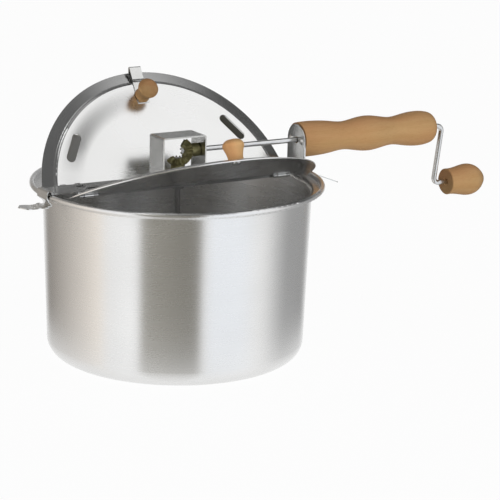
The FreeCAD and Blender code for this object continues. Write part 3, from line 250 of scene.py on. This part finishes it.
# ================================================================ materials
def spun_aluminium():
    """The pot: brushed round its axis, so reflections stand in upright bands."""
    material, g, shader = surface("spun_aluminium")
    place = g.add("ShaderNodeTexCoord").outputs["Object"]
    x, y, z = g.apart(place)
    turn = g.math("ARCTAN2", y, x)

    def lines(scale):
        around, upwards = scale
        return g.vector(g.times(turn, around), 0.0, g.times(z, upwards))

    brushing = g.noise(lines(POT_BRUSHING), 1.0, 3.0, 0.6)
    scratches = g.noise(lines(POT_SCRATCHES), 1.0, 5.0, 0.75)
    clouds = g.noise(place, POT_CLOUDS, 3.0)
    tone = g.plus(g.times(brushing, POT_BRUSHED_SHARE), g.times(clouds, 1.0 - POT_BRUSHED_SHARE))
    finish(g, shader, g.ramp(tone, POT_TONES), 1.0, g.spread(scratches, POT_ROUGHNESS),
           g.bump(brushing, POT_RELIEF))
    g.put(shader, "Anisotropic", POT_ANISOTROPY)
    g.put(shader, "Anisotropic Rotation", POT_BRUSH_TURN)
    tangent = g.add("ShaderNodeTangent", {"direction_type": "RADIAL", "axis": "Z"})
    g.put(shader, "Tangent", tangent.outputs[0])
    return material


def polished_sheet(name, lid=None, shade=1.0):
    """Bright rolled sheet of the lids and the bridge; lid is lid_plane's answer for the one with vents."""
    material, g, shader = surface(name)
    coordinates = g.add("ShaderNodeTexCoord")
    place = coordinates.outputs["Object"]
    rolled = g.noise(place, SHEET_ROLLING, 2.0)
    smudges = g.noise(place, SHEET_SMUDGES, 2.0)
    tone = g.ramp(smudges, darker(SHEET_TONES, shade))
    wear = g.plus(g.times(rolled, SHEET_ROLLED_SHARE), g.times(smudges, 1.0 - SHEET_ROLLED_SHARE))
    rough = g.spread(wear, SHEET_ROUGHNESS)
    normal = g.bump(smudges, SHEET_RELIEF)
    if lid:
        hinge, outwards, upwards = lid
        across, _, _ = g.apart(place)
        along = g.plus(g.dot(g.minus(place, hinge), outwards), abs(hinge.y))
        radius = g.length(g.vector(across, along, 0.0))
        normal = dished(g, across, along, radius, normal)
        tilt = g.ramp(g.dot(coordinates.outputs["Normal"], upwards), TONGUE_TILT)
        # painted shade in the vents, darker and rougher than the panel
        vent_shade = painted_vent_shade(g, across, along, radius, tilt)
        tone = g.mixed(vent_shade, tone, VENT_SHADE)
        gloss = g.times(g.math("GREATER_THAN", radius, BAND_FROM), BAND_GLOSS)
        rough = g.math("SUBTRACT", g.plus(rough, g.times(vent_shade, VENT_SHADE_ROUGHNESS)), gloss)
    finish(g, shader, tone, 1.0, rough, normal)
    return material


def dished(g, across, along, radius, normal):
    """The normal bent where the lid's panel dips before its bevel."""
    dish = g.add("ShaderNodeMapRange", {"interpolation_type": "SMOOTHSTEP"}, Value=radius,
                 From_Min=DISH_FROM, From_Max=DISH_TO, To_Min=1.0, To_Max=0.0).outputs["Result"]
    side = g.math("DIVIDE", g.math("ARCTAN2", along, across), math.pi)
    return g.bump(dish, (g.ramp(side, DISH_REACH), DISH_DEPTH), Normal=normal)


def painted_vent_shade(g, across, along, radius, tilt):
    """How much painted shade the vents get: on their tilted tongues only."""
    inside = g.times(g.math("LESS_THAN", radius, DISH_TO), g.math("GREATER_THAN", along, VENTS_FROM))
    shade_weight = g.math("MAXIMUM", THIN_VENT_SHADE, g.math("GREATER_THAN", across, 0.0))
    return g.times(g.times(tilt, inside), shade_weight)


def lid_plane(joint):
    """A lid's hinge point, the way outwards along it and its normal, open as it rests."""
    hinge = Vector(joint["pos_m"])
    turn = Matrix.Rotation(math.radians(-joint["range_deg"][0]), 3, Vector(joint["axis"]))
    return hinge, turn @ Vector((0.0, math.copysign(1.0, hinge.y), 0.0)), turn @ Vector((0.0, 0.0, 1.0))


def pressed_steel():
    """Brackets, clips, rivets and screws."""
    material, g, shader = surface("pressed_steel")
    place = g.add("ShaderNodeTexCoord").outputs["Object"]
    grain = g.noise(place, STEEL_GRAIN, 2.0)
    patches = g.noise(place, STEEL_PATCHES, 3.0)
    finish(g, shader, g.ramp(patches, STEEL_TONES), 1.0, g.spread(g.times(grain, patches), STEEL_ROUGHNESS),
           g.bump(grain, STEEL_RELIEF))
    return material


def plated_rod():
    """Crank rod, stirrer shaft and stirrer wires."""
    material, g, shader = surface("plated_rod")
    place = g.add("ShaderNodeTexCoord").outputs["Object"]
    patches = g.noise(place, ROD_PATCHES, 3.0)
    finish(g, shader, g.ramp(patches, ROD_TONES), 1.0, g.spread(patches, ROD_ROUGHNESS),
           g.bump(patches, ROD_RELIEF))
    return material


def gear_metal():
    """Sintered gears: dark, slightly olive and grainy."""
    material, g, shader = surface("gear_metal")
    place = g.add("ShaderNodeTexCoord").outputs["Object"]
    grains = g.noise(place, GEAR_GRAINS, 3.0)
    stains = g.noise(place, GEAR_STAINS, 4.0)
    finish(g, shader, g.ramp(stains, GEAR_TONES), GEAR_METALLIC, g.spread(grains, GEAR_ROUGHNESS),
           g.bump(grains, GEAR_RELIEF))
    return material


def turned_wood(name, along, origin, end_tone, shade):
    """Smooth light hardwood: grain along the unit vector given, as dark as end_tone where it ends, partly
    painted shade.
    """
    material, g, shader = surface(name)
    coordinates = g.add("ShaderNodeTexCoord")
    turn = Vector((1.0, 0.0, 0.0)).rotation_difference(Vector(along)).inverted().to_euler()
    moved = g.minus(coordinates.outputs["Object"], origin)
    own = g.add("ShaderNodeMapping", None, Vector=moved, Rotation=turn).outputs[0]
    drift = g.noise(own, WOOD_DRIFT, 3.0)
    figure = g.noise(own, WOOD_FIGURE, 3.0, 0.55)
    fibres = g.noise(own, WOOD_FIBRES, 4.0, 0.6)
    pores = g.noise(own, WOOD_PORES, 2.0)
    rest = g.plus(g.times(fibres, FIBRES_SHARE), g.times(drift, DRIFT_SHARE))
    tone = g.plus(g.times(figure, FIGURE_SHARE), rest)
    grained = g.tinted(PORE_SHARE, g.ramp(tone, darker(WOOD_TONES, shade)), g.ramp(pores, PORE_TONES))
    # darker where the grain ends: the end grain's own tone, partly painted shade
    facing = g.math("ABSOLUTE", g.dot(coordinates.outputs["Normal"], tuple(along)))
    ends = g.ramp(facing, ((END_FROM, 1.0), END_MIDDLE, (END_FULL, end_tone)))
    colour = g.tinted(1.0, g.tinted(1.0, grained, g.ramp(drift, WOOD_HUES)), ends)
    finish(g, shader, colour, 0.0, g.spread(fibres, WOOD_ROUGHNESS), g.bump(fibres, WOOD_RELIEF))
    g.put(shader, "Specular IOR Level", WOOD_SPECULAR)
    return material


def finish_nodes():
    """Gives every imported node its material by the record's slot."""
    made = {"pot_aluminium": spun_aluminium(), "polished_aluminium": polished_sheet("polished_sheet"),
            "bright_steel": pressed_steel(), "plated_rod": plated_rod(), "dark_gear_metal": gear_metal()}
    joints = {joint["name"]: joint for joint in frame["record"]["behaviour"]["joints"]}
    rear, front = lid_plane(joints["rear_lid_hinge"]), lid_plane(joints["front_lid_hinge"])
    grains = {"rear_lid_knob": rear[2], "front_lid_knob": front[2]}
    sheets = {"rear_lid": polished_sheet("rear_lid_sheet", rear),
              # the bridge's sheet carries painted shade
              "bridge": polished_sheet("bridge_sheet", shade=BRIDGE_SHADE)}
    for part in frame["record"]["subparts"]:
        name, slot = part["node"], part["material_slot"]
        if slot == "wood":
            low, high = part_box(name)
            along = grains.get(name, Vector((1.0, 0.0, 0.0)))
            end_tone = LID_KNOB_END if name in grains else HANDLE_END
            # the knobs' paler and darker tones are painted light and painted shade
            chosen = turned_wood("wood_" + name, along, (low + high) / 2, end_tone, KNOB_LIGHT_AND_SHADE.get(name, 1.0))
        else:
            chosen = sheets.get(name, made[slot])
        NODES[name].data.materials.clear()
        NODES[name].data.materials.append(chosen)


# ================================================================ stage, light and camera
def from_camera(angle, elevation):
    """A direction given in degrees right of the camera and above the horizon."""
    turn, rise = VIEW_AZIMUTH + math.radians(angle), math.radians(elevation)
    return (math.sin(turn) * math.cos(rise), -math.cos(turn) * math.cos(rise), math.sin(rise))


def mirror_rays(g, path):
    """1 for what the metal shows, by reflection or through glass."""
    return g.math("MAXIMUM", path["Is Glossy Ray"], path["Is Transmission Ray"])


def make_world():
    """Two soft boxes beside the camera, a darker room and ceiling round them, and white for the camera."""
    world = bpy.data.worlds.new("studio")
    bpy.context.scene.world = world
    g = Graph(world)
    direction = g.add("ShaderNodeTexCoord").outputs["Generated"]
    near = g.dot(direction, from_camera(0.0, 0.0))
    right = g.dot(direction, from_camera(90.0, 0.0))
    turn = g.add("ShaderNodeMapRange", None, Value=g.math("ARCTAN2", right, near),
                 From_Min=-math.pi, From_Max=math.pi).outputs["Result"]
    wall = g.ramp(turn, [((angle + 180.0) / 360.0, [level * part for part in tint])
                         for angle, level, tint in ROOM])
    _, _, z = g.apart(direction)
    overhead = g.ramp(z, ((SKYLIGHT[0], CEILING_LEVEL), (SKYLIGHT[1], SKYLIGHT_LEVEL)))
    room = g.mixed(g.ramp(z, ((CEILING[0], 0.0), (CEILING[1], 1.0))), wall, overhead)
    for angle, elevation, radius, edge, level in PATCHES:
        reach = g.dot(direction, from_camera(angle, elevation))
        inner, outer = math.cos(math.radians(radius)), math.cos(math.radians(radius + edge))
        room = g.mixed(g.ramp(reach, ((outer, 0.0), (inner, 1.0))), room, (*grey(level), 1.0))
    path = g.add("ShaderNodeLightPath").outputs
    full, none = BACKDROP_TURN
    behind = g.ramp(turn, ((full, 1.0), (none, 0.0), (1.0 - none, 0.0), (1.0 - full, 1.0)))
    under = g.ramp(z, ((BACKDROP_TOP[0], 1.0), (BACKDROP_TOP[1], 0.0)))
    backdrop = g.times(g.times(behind, under), mirror_rays(g, path))
    light = g.add("ShaderNodeBackground", None, Color=room, Strength=1.0)
    white = g.add("ShaderNodeBackground", None, Color=WHITE, Strength=1.0)
    seen = g.either(g.math("MAXIMUM", path["Is Camera Ray"], backdrop), light, white)
    g.add("ShaderNodeOutputWorld", None, Surface=seen.outputs[0])


def make_floor():
    """A pale table: white to the camera but for the shadow, and seen in the metal only near the pot."""
    bpy.ops.mesh.primitive_circle_add(vertices=FLOOR_SIDES, radius=FLOOR_RADIUS, fill_type="NGON",
                                      location=(0, 0, 0))
    floor = bpy.context.object
    floor.name = "floor"
    material = bpy.data.materials.new("pale_floor")
    g = Graph(material)
    path = g.add("ShaderNodeLightPath").outputs
    reach = g.length(g.add("ShaderNodeTexCoord").outputs["Object"])
    away = g.add("ShaderNodeMapRange", None, Value=reach, From_Min=TABLE_FADE[0], From_Max=TABLE_FADE[1])
    gone = g.times(away.outputs["Result"], path["Is Glossy Ray"])
    dull = g.add("ShaderNodeBsdfDiffuse", None, Color=FLOOR_PALE)
    glow = g.add("ShaderNodeEmission", None, Color=WHITE, Strength=1.0)
    share = g.times(g.math("MAXIMUM", path["Is Camera Ray"], mirror_rays(g, path)), FLOOR_GLOW)
    seen = g.either(gone, g.either(share, dull, glow), g.add("ShaderNodeBsdfTransparent"))
    g.add("ShaderNodeOutputMaterial", None, Surface=seen.outputs[0])
    floor.data.materials.append(material)


def make_lamps():
    for name, place, aim, side, watts in LAMPS:
        data = bpy.data.lights.new(name, "AREA")
        data.shape = "SQUARE"
        data.size = side
        data.energy = watts
        lamp = bpy.data.objects.new(name, data)
        bpy.context.scene.collection.objects.link(lamp)
        lamp.location = place
        lamp.visible_glossy = False       # the metal shows the room's soft boxes instead
        lamp.rotation_euler = (Vector(place) - Vector(aim)).to_track_quat("Z", "Y").to_euler()


def turned(first, second, angle):
    """Two vectors at right angles, turned in their own plane from the first towards the second."""
    cosine, sine = math.cos(angle), math.sin(angle)
    return cosine * first + sine * second, cosine * second - sine * first


def make_camera():
    """The photograph's view: the aim falls on its own pixel of a square picture."""
    back = Vector(from_camera(0.0, math.degrees(VIEW_ELEVATION)))
    forward = -back
    right = forward.cross(Vector((0, 0, 1))).normalized()
    up = right.cross(forward)
    half = PICTURE / 2
    yaw = math.atan((AIM_PIXEL[0] - half) / FOCAL_PIXELS)
    pitch = math.atan((half - AIM_PIXEL[1]) / FOCAL_PIXELS * math.cos(yaw))
    right, forward = turned(right, forward, yaw)
    up, forward = turned(up, forward, pitch)
    right, up = turned(right, up, VIEW_ROLL)
    data = bpy.data.cameras.new("camera")
    data.sensor_width = SENSOR
    data.lens = FOCAL_PIXELS / PICTURE * SENSOR
    camera = bpy.data.objects.new("camera", data)
    bpy.context.scene.collection.objects.link(camera)
    axes = Matrix((right, up, -forward)).transposed().to_4x4()
    camera.matrix_world = Matrix.Translation(AIM + VIEW_DISTANCE * back) @ axes
    bpy.context.scene.camera = camera


finish_nodes()
make_world()
make_floor()
make_lamps()
make_camera()
bpy.context.scene.view_settings.view_transform = "Standard"
